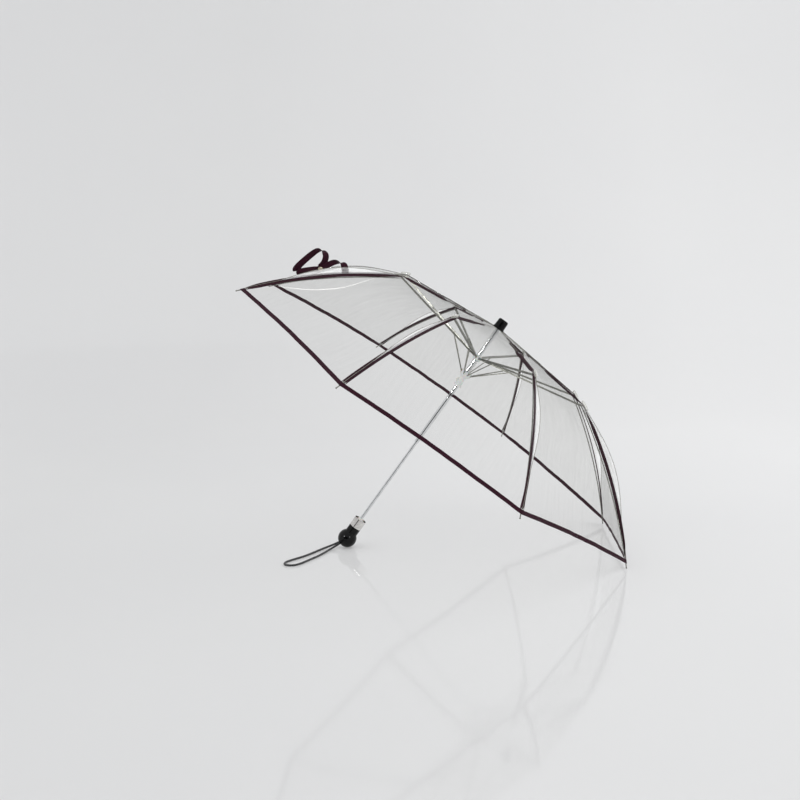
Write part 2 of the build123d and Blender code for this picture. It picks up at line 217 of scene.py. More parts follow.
class Nodes:
    """A material's node tree, with short ways to add to it."""

    def __init__(self, name):
        self.material = bpy.data.materials.new(name)
        self.material.use_nodes = True
        self.tree = self.material.node_tree
        self.tree.nodes.clear()
        self.output = self.add("OutputMaterial")

    def add(self, kind, inputs=None, **settings):
        node = self.tree.nodes.new("ShaderNode" + kind)
        for key, value in settings.items():
            setattr(node, key, value)
        for key, value in (inputs or {}).items():
            if isinstance(value, bpy.types.NodeSocket):
                self.tree.links.new(value, node.inputs[key])
            else:
                node.inputs[key].default_value = value
        return node

    def math(self, operation, a, b=0.5, c=0.5):
        return self.add("Math", {0: a, 1: b, 2: c}, operation=operation).outputs[0]

    def mix(self, share, one, two):
        return self.add("MixShader", {0: share, 1: one, 2: two}).outputs[0]

    def remap(self, value, low, high, to_low=0.0, to_high=1.0):
        ends = {"From Min": low, "From Max": high, "To Min": to_low, "To Max": to_high}
        return self.add("MapRange", {"Value": value, **ends}).outputs[0]

    def ramp(self, value, *stops):
        node = self.add("ValToRGB", {"Fac": value})
        elements = node.color_ramp.elements
        while len(elements) < len(stops):
            elements.new(0.5)
        for element, (position, colour) in zip(elements, stops):
            element.position = position
            element.color = (*colour, 1)
        return node.outputs["Color"]

    def uv(self):
        return self.add("TexCoord").outputs["UV"]

    def mapping(self, vector, scale):
        return self.add("Mapping", {"Vector": vector, "Scale": scale}).outputs[0]

    def coordinates(self, scale=(1, 1, 1)):
        return self.mapping(self.add("TexCoord").outputs["Object"], scale)

    def position(self):
        return self.add("SeparateXYZ", {0: self.add("NewGeometry").outputs["Position"]}).outputs

    def noise(self, vector, scale, detail=3.0, roughness=0.5):
        node = self.add(
            "TexNoise",
            {"Vector": vector, "Scale": scale, "Detail": detail, "Roughness": roughness},
        )
        return node.outputs["Fac"]

    def bump(self, height, strength, distance):
        node = self.add("Bump", {"Height": height, "Strength": strength, "Distance": distance})
        return node.outputs["Normal"]

    def principled(self, **inputs):
        named = {key.replace("_", " "): value for key, value in inputs.items()}
        return self.add("BsdfPrincipled", named).outputs[0]

    def finish(self, shader):
        self.tree.links.new(shader, self.output.inputs["Surface"])
        return self.material


def film_material(name, clear, haze, haze_colour, gloss, streaks=0.35):
    """Clear vinyl: it lets nearly all light through, mirrors at a slant, and is faintly hazy
    in soft streaks that run down each panel."""
    mirror_base, mirror_power, edge_power = 0.035, 4.5, 3.0
    n = Nodes(name)
    uv = n.uv()
    streak = n.noise(n.mapping(uv, (1.4, 0.12, 1)), 1.0, 4.0)
    mottle = n.noise(n.coordinates(), 14.0, 2.0)
    ripples = n.noise(n.mapping(uv, (0.5, 0.09, 1)), 1.0, 2.0)
    normal = n.bump(ripples, 0.35, 0.003)
    slant = n.add("LayerWeight", {"Blend": 0.5, "Normal": normal}).outputs["Facing"]
    flat_on = n.add("BsdfTransparent", {"Color": (*clear, 1)}).outputs[0]
    edge_on = n.add("BsdfTransparent", {"Color": (*(c * c for c in clear), 1)}).outputs[0]
    see = n.mix(n.math("POWER", slant, edge_power), flat_on, edge_on)
    mirror = n.principled(
        Base_Color=(0.97, 0.97, 0.96, 1), Metallic=1.0, Roughness=0.07, Normal=normal
    )
    share = n.math("MULTIPLY_ADD", n.math("POWER", slant, mirror_power), gloss, mirror_base)
    shiny = n.mix(share, see, mirror)
    front = n.add("BsdfDiffuse", {"Color": (*haze_colour, 1), "Normal": normal})
    behind = n.add("BsdfTranslucent", {"Color": (*haze_colour, 1), "Normal": normal})
    milk = n.add("AddShader", {0: front.outputs[0], 1: behind.outputs[0]}).outputs[0]
    cloudy = n.math("ADD", streak, n.math("MULTIPLY", mottle, streaks))
    fog = n.math("MULTIPLY", n.remap(cloudy, 0.35, 1.0, 0.15, 1.0), haze)
    return n.finish(n.mix(fog, shiny, milk))


def ribbon_material(name, colour, light):
    """Grosgrain ribbon: fine ribs across it, finer threads along it, a fuzz, and uneven wear; its
    colour is also painted darker in the weave's hollows and lighter on its crests, as painted
    shade and highlight.
    """
    n = Nodes(name)
    uv = n.uv()
    split = n.add("SeparateXYZ", {0: uv})
    across, run = split.outputs[0], split.outputs[1]
    cross_ribs = n.math("SINE", n.math("MULTIPLY", run, 2 * pi / RIBBON_RIB))
    threads = n.math("SINE", n.math("MULTIPLY", across, 2 * pi / RIBBON_THREAD))
    weave = n.math("ADD", n.math("MULTIPLY", cross_ribs, 0.7), n.math("MULTIPLY", threads, 0.3))
    wear = n.noise(uv, 1.3, 5.0, 0.6)
    fuzz = n.noise(uv, 40.0, 2.0)
    # tone mixes the uneven wear with the weave's painted shade in its hollows and painted
    # highlight on its crests
    tone = n.math(
        "ADD", n.math("MULTIPLY", wear, 0.7), n.math("MULTIPLY", n.remap(weave, -1, 1), 0.35)
    )
    shade = tuple(c * 0.55 for c in colour)
    height = n.math("ADD", weave, n.math("MULTIPLY", fuzz, 0.5))
    return n.finish(
        n.principled(
            Base_Color=n.ramp(tone, (0.25, shade), (0.62, colour), (0.95, light)),
            Roughness=n.remap(wear, 0.3, 0.7, 0.5, 0.68),
            Sheen_Weight=0.03,
            Sheen_Roughness=0.4,
            Specular_IOR_Level=0.13,
            Normal=n.bump(height, 0.55, 0.00018),
        )
    )


def metal_material(name, colour, rough, streak_scale, streak_bump=0.08, dark=0.55):
    """Plated steel: drawn streaks, soft smudges, and darker, duller spots where it is worn."""
    n = Nodes(name)
    streak = n.noise(n.coordinates(streak_scale), 1.0, 5.0, 0.6)
    smudge = n.noise(n.coordinates(), 60.0, 3.0)
    tone = n.math("ADD", n.math("MULTIPLY", streak, 0.5), n.math("MULTIPLY", smudge, 0.5))
    return n.finish(
        n.principled(
            Base_Color=n.ramp(tone, (0.3, tuple(c * dark for c in colour)), (0.6, colour)),
            Metallic=1.0,
            Roughness=n.remap(tone, 0.3, 0.7, rough * 1.7, rough * 0.8),
            Normal=n.bump(streak, streak_bump, 0.0003),
        )
    )


def plastic_material(name, colour, rough, grain=0.06, scale=900.0, **more):
    """Moulded plastic: a fine skin, slight mottling and handling marks in the gloss."""
    n = Nodes(name)
    where = n.coordinates()
    mottle = n.noise(where, 90.0, 4.0)
    skin = n.noise(where, scale, 3.0)
    return n.finish(
        n.principled(
            Base_Color=n.ramp(mottle, (0.3, tuple(c * 0.86 for c in colour)), (0.65, colour)),
            Roughness=n.remap(mottle, 0.3, 0.7, rough * 0.75, rough * 1.35),
            Normal=n.bump(skin, grain, 0.0002),
            **more,
        )
    )


def clear_plastic_material(name, tint, share):
    """Clear moulded plastic, bright where it faces the lights, with a faint yellow body."""
    n = Nodes(name)
    mark = n.noise(n.coordinates(), 240.0, 3.0)
    normal = n.bump(mark, 0.35, 0.0006)
    facing = n.add("LayerWeight", {"Blend": 0.5, "Normal": normal}).outputs["Facing"]
    through = n.add("BsdfTransparent", {"Color": (*tint, 1)}).outputs[0]
    body = n.principled(
        Base_Color=(0.86, 0.86, 0.82, 1), Roughness=0.12, Coat_Weight=0.6, Normal=normal
    )
    level = n.math("ADD", n.math("POWER", facing, 2.0), n.remap(mark, 0.35, 0.7, 0.0, share))
    return n.finish(n.mix(level, through, body))


def cord_material():
    """Braided black cord: two sets of slanting strands that cross, with a dull sheen; its colour
    is painted darker in the grooves between strands and lighter on their crests, as painted shade
    and highlight.
    """
    # dark is the painted shade in the braid's grooves, light the painted highlight on its strands
    dark, light = (0.004, 0.004, 0.005), (0.022, 0.022, 0.025)
    n = Nodes("braided_cord")
    split = n.add("SeparateXYZ", {0: n.uv()})
    length = n.math("MULTIPLY", split.outputs[0], CORD_LONG / BRAID_PITCH * 2 * pi)
    turn = n.math("MULTIPLY", split.outputs[1], 2 * pi * BRAID_STRANDS)
    one = n.math("SINE", n.math("ADD", length, turn))
    two = n.math("SINE", n.math("SUBTRACT", length, turn))
    braid = n.math("MAXIMUM", one, two)
    fuzz = n.noise(n.coordinates(), 2500.0, 2.0)
    height = n.math("ADD", braid, n.math("MULTIPLY", fuzz, 0.4))
    return n.finish(
        n.principled(
            Base_Color=n.ramp(n.remap(braid, -1, 1), (0.1, dark), (1.0, light)),
            Roughness=0.62,
            Sheen_Weight=0.3,
            Normal=n.bump(height, 0.7, 0.0004),
        )
    )


def floor_material():
    """A pale, slightly glossy studio floor that runs up into its backdrop, and glows a little
    itself, less on the left."""
    n = Nodes("studio_floor")
    cloud = n.noise(n.coordinates(), 0.7, 2.0)
    pale = n.ramp(cloud, (0.3, (0.60, 0.60, 0.605)), (0.7, (0.63, 0.63, 0.63)))
    diffuse = n.add("BsdfDiffuse", {"Color": pale})
    glossy = n.add("BsdfGlossy", {"Color": (0.9, 0.9, 0.9, 1), "Roughness": FLOOR_ROUGH})
    surface = n.mix(FLOOR_MIRROR, diffuse.outputs[0], glossy.outputs[0])
    level = n.remap(n.position()[0], -1.0, 1.0, GLOW_LEFT, GLOW_RIGHT)
    glow = n.add("Emission", {"Strength": level})
    return n.finish(n.add("AddShader", {0: surface, 1: glow.outputs[0]}).outputs[0])


def card_material():
    """Matt black that fades out towards the card's edges, so no reflection shows its outline."""
    n = Nodes("black_card")
    x, y, z = n.position()
    left = n.remap(x, CARD_LEFT, CARD_LEFT + CARD_FADE)
    right = n.remap(x, CARD_RIGHT, CARD_RIGHT - CARD_FADE)
    near, top = n.remap(y, *CARD_NEAR), n.remap(z, *CARD_TOP)
    share = n.math("MULTIPLY", n.math("MULTIPLY", left, right), n.math("MULTIPLY", near, top))
    clear = n.add("BsdfTransparent", {"Color": (1, 1, 1, 1)})
    black = n.add("BsdfDiffuse", {"Color": (0.012, 0.012, 0.012, 1)})
    return n.finish(n.mix(share, clear.outputs[0], black.outputs[0]))


# ---------------------------------------------------------------- camera
# Fitted to the rib tips, the cap and the ball in the photo

CAMERA_AT = Vector((0.0631, -2.4154, 0.6068))
CAMERA_RIGHT = Vector((0.99831, 0.05331, -0.02331))
CAMERA_AHEAD = Vector((-0.05571, 0.99131, -0.11915))
FOCAL_PIXELS, IMAGE_PIXELS = 1153.4, 800

camera_data = bpy.data.cameras.new("camera")
camera_data.sensor_width = 36
camera_data.lens = camera_data.sensor_width * FOCAL_PIXELS / IMAGE_PIXELS
camera = bpy.data.objects.new("camera", camera_data)
bpy.context.scene.collection.objects.link(camera)
camera_up = CAMERA_RIGHT.cross(CAMERA_AHEAD).normalized()
camera.matrix_world = Matrix.Translation(CAMERA_AT) @ Matrix(
    (CAMERA_RIGHT, camera_up, -CAMERA_AHEAD)
).transposed().to_4x4()
bpy.context.scene.camera = camera

# ---------------------------------------------------------------- wrist cord

CORD_R, CORD_LIES = 2.2, 2.4
CORD_LONG = 0.38
CORD_ROUTE = [  # from one side of the ball's foot out over the floor and back, in the row frame
    (-209.5, -0.5, 12),
    (-222.5, -3, 6.4),
    (-237, -12, CORD_LIES + 0.6),
    (-249, -32, CORD_LIES),
    (-261, -58, CORD_LIES),
    (-277, -88, CORD_LIES),
    (-296, -112, CORD_LIES),
    (-309, -133, CORD_LIES),
    (-306, -153, CORD_LIES),
    (-288, -158, CORD_LIES),
    (-274, -143, CORD_LIES),
    (-262, -116, CORD_LIES),
    (-247, -86, CORD_LIES),
    (-236, -56, CORD_LIES),
    (-229, -34, CORD_LIES + 0.4),
    (-219, -18, 5.6),
    (-207.5, -8.5, 11),
]
cord_curve = bpy.data.curves.new("wrist_loop", "CURVE")
cord_curve.dimensions = "3D"
spline = cord_curve.splines.new("NURBS")
spline.points.add(len(CORD_ROUTE) - 1)
for point, (x, y, z) in zip(spline.points, CORD_ROUTE):
    point.co = (x * MM, y * MM, z * MM, 1)
spline.order_u = 3
spline.use_endpoint_u = True
spline.resolution_u = 12
cord_curve.bevel_depth = CORD_R * MM
cord_curve.bevel_resolution = 5
cord_curve.use_fill_caps = True
wrist_loop = bpy.data.objects.new("wrist_loop", cord_curve)
bpy.context.scene.collection.objects.link(wrist_loop)
wrist_loop.data.materials.append(cord_material())
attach(wrist_loop, "handle")
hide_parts("wrist_cord")

# ---------------------------------------------------------------- canopy shape

OUTER_LONG = hypot(TIP_R - KNEE_R, TIP_W - KNEE_W)
TOP_LONG = hypot(KNEE_R, KNEE_W)
FOLD_RUN = -TOP_LONG * (1 - FOLD_R / KNEE_R)
TOP_RUN = -TOP_LONG * (1 - TOP_INNER_R / KNEE_R)
# How high the film stands off the tape, and over what share of the seam
FIN_HIGH, FIN_ENDS = 13, 0.78
# How far from the knee the film bends: at a seam, and how much more in the middle of a panel
KNEE_TIGHT, KNEE_SOFT = 6, 62
PANEL_BULGE, KNEE_BULGE = 5, 0.3  # mid-panel, and the share of it at the knee
HEM_HOLLOW = 4
WAVE_HIGH, CREASE_HIGH = 1.5, 2.2
# The share of their height that the waves have at the knee, and how far off they have it all
CALM_SHARE, CALM_LONG = 0.25, 80
CREASED_FROM, CREASED_OVER = 20, 120  # where the slack top starts to crease, inwards
FILM_COLUMNS, OUTER_ROWS, INNER_ROWS = 13, 40, 22
PANEL_UV_STEP = 3.3  # between the panels' streaks, in cm
NORMAL_STEP, NEAR_SEAM = 1.5, 0.004  # a step along the seam, and a share across the panel


def top_seam(r):
    return Vector((r, KNEE_W * r / KNEE_R))


OUTER_NORMAL = Vector((KNEE_W - TIP_W, TIP_R - KNEE_R)) / OUTER_LONG


def outer_seam(share):
    """A point (r, w) of the taped seam, from the knee at 0 to the tip at 1."""
    chord = Vector((KNEE_R, KNEE_W)).lerp(Vector((TIP_R, TIP_W)), share)
    return chord + OUTER_NORMAL * 4 * SEAM_BOW * share * (1 - share)


def ridge(share):
    """Where the film itself bends: it stands off the tape in a long thin fin."""
    part = clamp(share / FIN_ENDS)
    return outer_seam(share) + OUTER_NORMAL * FIN_HIGH * sin(pi * part**1.1) ** 1.25


def seam_point(run):
    """The film's seam, as (r, w), run mm from the knee: outwards above 0, inwards below."""
    if run >= 0:
        return ridge(run / OUTER_LONG)
    return top_seam(KNEE_R * (1 + run / TOP_LONG))


def profile_point(run, soft):
    """The seam's line, rounded within soft mm of the knee."""
    if abs(run) >= soft:
        return seam_point(run)
    share = (run / soft + 1) / 2
    a, b, c = seam_point(-soft), seam_point(0), seam_point(soft)
    return a * (1 - share) ** 2 + b * 2 * share * (1 - share) + c * share**2


def panel_of(number, side):
    """The panel on this side of a rib's seam."""
    return (number if side > 0 else number - 1) % RIBS


def film_wave(sideways, run, wide, long, seed):
    """Smooth noise in waves about this wide and long, in mm."""
    return noise.noise(Vector((sideways / wide, run / long, seed)))


def film_point(azimuth, side, run, share, panel):
    """A point of the film on one side of a seam: share is 0 at the seam, 0.5 mid-panel."""
    crown = max(0.0, 4 * share * (1 - share))
    soft = KNEE_TIGHT + KNEE_SOFT * crown
    here = profile_point(run, soft)
    ahead = profile_point(run + 2, soft) - profile_point(run - 2, soft)
    middle = azimuth + side * HALF
    flat_r = here.x * cos(HALF)
    sideways = -side * here.x * sin(HALF) * (1 - 2 * share)
    normal = Vector((-ahead.y, ahead.x * cos(HALF))).normalized()
    if run > 0:
        along = min(1.0, run / OUTER_LONG)
        lift = PANEL_BULGE * crown * (1 - along) ** 0.5 * min(1, KNEE_BULGE + along)
    else:
        lift = PANEL_BULGE * KNEE_BULGE * crown
    wave = film_wave(sideways, run, 34, 150, panel * 7.3)
    wave += 0.5 * film_wave(sideways, run, 13, 90, panel * 5.1 + 40)
    crease = film_wave(sideways, run, 11, 26, panel * 3.7 + 80)
    creased = clamp((-run - CREASED_FROM) / CREASED_OVER)
    waving = clamp(abs(run) / CALM_LONG, CALM_SHARE)
    lift += crown**0.6 * (WAVE_HIGH * wave * waving + CREASE_HIGH * crease * creased)
    return at(middle, flat_r + normal.x * lift, here.y + normal.y * lift, sideways)


def film_normal(azimuth, side, run, share, panel):
    du = film_point(azimuth, side, run + NORMAL_STEP, share, panel)
    du -= film_point(azimuth, side, run - NORMAL_STEP, share, panel)
    dv = film_point(azimuth, side, run, share + NEAR_SEAM, panel)
    dv -= film_point(azimuth, side, run, share - NEAR_SEAM, panel)
    normal = du.cross(dv).normalized()
    return normal if normal.dot(UP + radial(azimuth)) > 0 else -normal


def hem_run(share):
    return OUTER_LONG - HEM_HOLLOW * 4 * share * (1 - share)


def film_piece(name, azimuth, number, runs, to_hem, material):
    """Half a panel on each side of a seam, as one mesh with a sharp bend at the seam."""
    points, faces, normals, uvs = [], [], [], []
    for side in (1, -1):
        panel = panel_of(number, side)
        first = len(points)
        for run in runs:
            for j in range(FILM_COLUMNS):
                share = 0.5 * j / (FILM_COLUMNS - 1)
                here = run * hem_run(share) / OUTER_LONG if to_hem else run
                points.append(film_point(azimuth, side, here, share, panel))
                normals.append(film_normal(azimuth, side, here, max(share, NEAR_SEAM), panel))
                wide = 2 * seam_point(here).x * sin(HALF) * (0.5 - share)
                u = side * wide / MM_PER_CM + panel * PANEL_UV_STEP
                uvs.append((u, here / MM_PER_CM))
        for face in grid_faces(len(runs), FILM_COLUMNS, first):
            faces.append(face if side > 0 else face[::-1])
    piece = new_piece(name, points, faces, material, uvs)
    piece.data.normals_split_custom_set_from_vertices(normals)
    return piece


# ---------------------------------------------------------------- canopy materials

FILM_CLEAR, FILM_HAZE = (0.99, 0.99, 0.985), (0.93, 0.93, 0.915)
FIN_CLEAR, FIN_HAZE_AND_HIGHLIGHT = (0.97, 0.97, 0.965), (0.97, 0.98, 0.99)
# Clear and haze colours of the thin strip that paints a highlight beside one seam
GLINT_CLEAR, GLINT_HAZE = (0.98, 0.98, 0.975), (0.97, 0.97, 0.95)

film = film_material("clear_vinyl", FILM_CLEAR, 0.05, FILM_HAZE, 0.3)
# The fins' strong white haze is partly the welded film's own haze and partly a painted highlight
# along each fin
fin_film = film_material("fin_vinyl_haze_and_highlight", FIN_CLEAR, 0.45, FIN_HAZE_AND_HIGHLIGHT, 0.35, 0.8)
# The film of that painted highlight strip: hazier and brighter than the panels
glint_film = film_material("painted_glint_vinyl", GLINT_CLEAR, 0.3, GLINT_HAZE, 0.3, 0.8)
weld = plastic_material("weld_line", (0.30, 0.29, 0.25), 0.3, Alpha=0.75)
wine = ribbon_material("wine_grosgrain", (0.033, 0.0035, 0.013), (0.065, 0.012, 0.03))
clear_plastic = clear_plastic_material("clear_plastic", (0.95, 0.95, 0.93), 0.25)
bright_steel = metal_material("bright_steel", (0.78, 0.78, 0.76), 0.16, (900, 900, 900))

# ---------------------------------------------------------------- tapes, welds and fittings

HEM_WIDE, HEM_THICK = 8, 1.1
HEM_STEPS, HEM_PAST = 24, 0.6  # steps on each side of a rib, and how far past the film
TAPE_WIDE, TAPE_THICK, TAPE_CROWN = 9.6, 0.55, 0.5
TAPE_FROM, TAPE_TO = 0.004, 0.985  # shares of the outer seam
TAPE_TO_R, TAPE_GAP = 92, 0.2
OUTER_INSET, MIDDLE_INSET, TOP_INSET = 1.6, 1.2, 0.9
KNOT_FROM_R, KNOT_TO_R, KNOT_THICK, KNOT_DROP = 91, 84, 1.5, 1.2
WELD_TO_R, WELD_RISE, TOP_WELD, RIDGE_WELD = 12.8, 0.3, 0.55, 0.5
FIN_STEPS, FIN_LEVELS, FIN_SWAY = 44, 6, 0.9
SLEEVE_R, SLEEVE_STEPS = 3.4, 6
SLEEVE_SCALES = (0.62, 0.9, 1.0, 1.06, 1.06, 1.0, 0.95, 0.8, 0.45)
COLLAR_R, COLLAR_WIRE = 3.6, 0.8
EYELET_SHARE, EYELET_R, EYELET_WIRE = 0.962, 3.1, 0.75
WIRE_SIDES, TORUS_STEPS, TORUS_SIDES = 8, 28, 10
# How many points each line along a seam has
TAPE_POINTS, INNER_POINTS, TOP_POINTS = 44, 14, 8
KNOT_POINTS, WELD_POINTS, RIDGE_POINTS = 4, 16, 60
# How far each seam's tape leans over, in degrees, rib by rib
TAPE_LEANS = (8, 35, -18, -15, -50, -8, -20, -50)
INNER_LEANS = (10, -25, -30, 8, -30, -16, 38, -30)
# How far the hem's binding turns out of the film's plane, panel by panel
HEM_LEANS = (0, -24, -24, -24, 0, 0, 0, 0)

hem_section = ribbon_section(HEM_WIDE, HEM_THICK)
tape_section = ribbon_section(TAPE_WIDE, TAPE_THICK, TAPE_CROWN, across=10)
sleeve_section = [(x * 1.1, y * 0.8) for x, y in circle_section(SLEEVE_R, 16)]


def tape_piece(name, azimuth, line, inset, lean=0.0):
    """Ribbon along a seam, on the film's inner side. It lies flat at its ends and leans over
    between them, by lean degrees."""
    points, sides = [], []
    for k, here in enumerate(line):
        ahead = line[min(k + 1, len(line) - 1)] - line[max(k - 1, 0)]
        down = Vector((ahead.y, -ahead.x)).normalized()
        if down.y > 0:
            down = -down
        points.append(at(azimuth, *(here + down * inset)))
        share = k / (len(line) - 1)
        turn = radians(lean) * min(1, 6 * share, 10 * (1 - share))
        outward = radial(azimuth) * -down.x - UP * down.y
        side = tangent(azimuth) * cos(turn) + outward * sin(turn)
        sides.append(-side if (line[-1] - line[0]).x > 0 else side)
    return swept(name, frames(points, sides), tape_section, wine)


def tube_piece(name, azimuth, line, radius, material):
    points = [at(azimuth, *here) for here in line]
    section = circle_section(radius, WIRE_SIDES)
    return swept(name, frames(points, tangent(azimuth)), section, material)


def torus_piece(name, centre, normal, radius, wire, material):
    side = normal.orthogonal().normalized()
    other = normal.cross(side)
    path = []
    for k in range(TORUS_STEPS):
        angle = 2 * pi * k / TORUS_STEPS
        out = side * cos(angle) + other * sin(angle)
        path.append((centre + out * radius * MM, out, normal))
    return swept(name, path, circle_section(wire, TORUS_SIDES), material, closed=True)


def hem_piece(number, azimuth):
    """The hem's binding, folded over the film's edge."""
    centres, sides = [], []
    for k in range(-HEM_STEPS, HEM_STEPS + 1):
        side, share = (1 if k >= 0 else -1), abs(k) / (2 * HEM_STEPS)
        panel = panel_of(number, side)
        end = hem_run(share)
        centres.append(film_point(azimuth, side, end - HEM_WIDE / 2 + HEM_PAST, share, panel))
        inner = film_point(azimuth, side, end - HEM_WIDE, share, panel)
        flat = (film_point(azimuth, side, end, share, panel) - inner).normalized()
        turn = radians(HEM_LEANS[panel]) * min(1, 8 * share)
        facing = film_normal(azimuth, side, end - HEM_WIDE / 2, max(share, NEAR_SEAM), panel)
        sides.append(flat * cos(turn) + facing * sin(turn))
    return swept(f"hem_binding_{number}", frames(centres, sides), hem_section, wine)


def fin_piece(number, azimuth):
    """The fin of film between the tape and the ridge."""
    points, uvs = [], []
    for share in spread(0, FIN_ENDS, FIN_STEPS):
        low, high = outer_seam(share), ridge(share)
        for mix in spread(0, 1, FIN_LEVELS):
            wander = noise.noise(Vector((share * 9, mix, number * 2.7)))
            sway = FIN_SWAY * sin(pi * mix) * wander
            points.append(at(azimuth, *low.lerp(high, mix), sway))
            uvs.append((mix * 1.5, share * 33))
    faces = grid_faces(FIN_STEPS, FIN_LEVELS)
    return new_piece(f"seam_fin_{number}", points, faces, fin_film, uvs)


def sleeve_piece(number, azimuth):
    """Clear retaining sleeve over the knee."""
    start, end = Vector((KNEE_R, KNEE_W + 2.2)), outer_seam(0.045) + Vector((2, 2))
    points = [
        at(azimuth, *start.lerp(end, k / SLEEVE_STEPS)) for k in range(-2, SLEEVE_STEPS + 1)
    ]
    return swept(
        f"knee_sleeve_{number}",
        frames(points, tangent(azimuth)),
        sleeve_section,
        clear_plastic,
        scale_at=lambda k: SLEEVE_SCALES[k],
    )


def collar_piece(number, azimuth):
    """Clear collar round the arm's end."""
    centre = at(azimuth, KNEE_R - 4, KNEE_W - 1.2)
    arm = (at(azimuth, HINGE_R, HINGE_W) - at(azimuth, ARM_ROOT_R, ARM_ROOT_W)).normalized()
    return torus_piece(
        f"knee_collar_{number}", centre, arm, COLLAR_R, COLLAR_WIRE, clear_plastic
    )


def eyelet_piece(number, azimuth):
    """Steel eyelet at the tip."""
    normal = (radial(azimuth) * 0.61 + UP * 0.79).normalized()
    centre = at(azimuth, *outer_seam(EYELET_SHARE)) - normal * OUTER_INSET * MM
    return torus_piece(
        f"tip_eyelet_{number}", centre, normal, EYELET_R, EYELET_WIRE, bright_steel
    )


# ---------------------------------------------------------------- canopy

for number, azimuth in ribs():
    outer_body, middle_body = f"outer_rib_{number}", f"canopy_middle_{number}"
    top_body = f"canopy_top_{number}"

    outer = film_piece(
        f"film_outer_{number}", azimuth, number, spread(0, OUTER_LONG, OUTER_ROWS), True, film
    )
    middle = film_piece(
        f"film_middle_{number}", azimuth, number, spread(FOLD_RUN, 0, INNER_ROWS), False, film
    )
    top = film_piece(
        f"film_top_{number}", azimuth, number, spread(TOP_RUN, FOLD_RUN, INNER_ROWS), False, film
    )
    hem = hem_piece(number, azimuth)

    outer_line = [outer_seam(s) for s in spread(TAPE_FROM, TAPE_TO, TAPE_POINTS)]
    inner_line = [top_seam(r) for r in spread(KNEE_R, FOLD_R + TAPE_GAP, INNER_POINTS)]
    top_line = [top_seam(r) for r in spread(FOLD_R - TAPE_GAP, TAPE_TO_R, TOP_POINTS)]
    tape = tape_piece(
        f"seam_tape_{number}", azimuth, outer_line, OUTER_INSET, TAPE_LEANS[number - 1]
    )
    inner_tape = tape_piece(
        f"seam_tape_inner_{number}", azimuth, inner_line, MIDDLE_INSET, INNER_LEANS[number - 1]
    )
    top_tape = tape_piece(f"seam_tape_top_{number}", azimuth, top_line, TOP_INSET)

    drop, rise = Vector((0, KNOT_DROP)), Vector((0, WELD_RISE))
    knot_line = [top_seam(r) - drop for r in spread(KNOT_FROM_R, KNOT_TO_R, KNOT_POINTS)]
    knot = tube_piece(f"tape_knot_{number}", azimuth, knot_line, KNOT_THICK, wine)
    weld_line = [top_seam(r) + rise for r in spread(FOLD_R, WELD_TO_R, WELD_POINTS)]
    top_bead = tube_piece(f"weld_top_{number}", azimuth, weld_line, TOP_WELD, weld)
    fin = fin_piece(number, azimuth)
    ridge_line = [ridge(s) for s in spread(0.0, TAPE_TO, RIDGE_POINTS)]
    bead = tube_piece(f"weld_ridge_{number}", azimuth, ridge_line, RIDGE_WELD, weld)
    sleeve = sleeve_piece(number, azimuth)
    collar = collar_piece(number, azimuth)
    eyelet = eyelet_piece(number, azimuth)

    for piece, body in (
        (outer, outer_body),
        (hem, outer_body),
        (tape, outer_body),
        (fin, outer_body),
        (bead, outer_body),
        (sleeve, outer_body),
        (eyelet, outer_body),
        (collar, f"arm_{number}"),
        (middle, middle_body),
        (inner_tape, middle_body),
        (top, top_body),
        (top_tape, top_body),
        (top_bead, top_body),
        (knot, top_body),
    ):
        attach(piece, body)
    for piece in (outer, middle, top, hem):
        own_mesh(piece)
    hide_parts(f"canopy_outer_{number}")
    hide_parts(f"canopy_middle_{number}")
    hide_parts(f"canopy_top_{number}")

# A painted highlight: a thin, bright strip of hazy film laid on one panel beside a seam, in place
# of a lamp's reflection in the curved film; its line is given as (run, share)
CREASE_RIB, GLINT_WIDE, GLINT_THICK = 5, 2.4, 0.3
CREASE = [
    (262, 0.06), (255, 0.09), (242, 0.135), (229, 0.18), (215, 0.22), (200, 0.255),
    (183, 0.285), (165, 0.30), (140, 0.29), (115, 0.26), (85, 0.20),
]
glint_azimuth = radians(PITCH * (CREASE_RIB - 0.5))
glint_points = [film_point(glint_azimuth, 1, *here, CREASE_RIB) for here in CREASE]
glint_sides = [
    film_point(glint_azimuth, 1, run, share + 0.02, CREASE_RIB)
    - film_point(glint_azimuth, 1, run, share - 0.02, CREASE_RIB)
    for run, share in CREASE
]
# The painted highlight strip itself, thinner at its ends: a bright line, not a fold in the film
crease = swept(
    "film_painted_glint",
    frames(glint_points, glint_sides),
    ribbon_section(GLINT_WIDE, GLINT_THICK, across=4),
    glint_film,
    scale_at=lambda k: sin(pi * (k + 0.6) / (len(CREASE) + 0.2)) ** 0.5,
)
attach(crease, f"outer_rib_{CREASE_RIB}")
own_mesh(crease)

# ---------------------------------------------------------------- closure strap

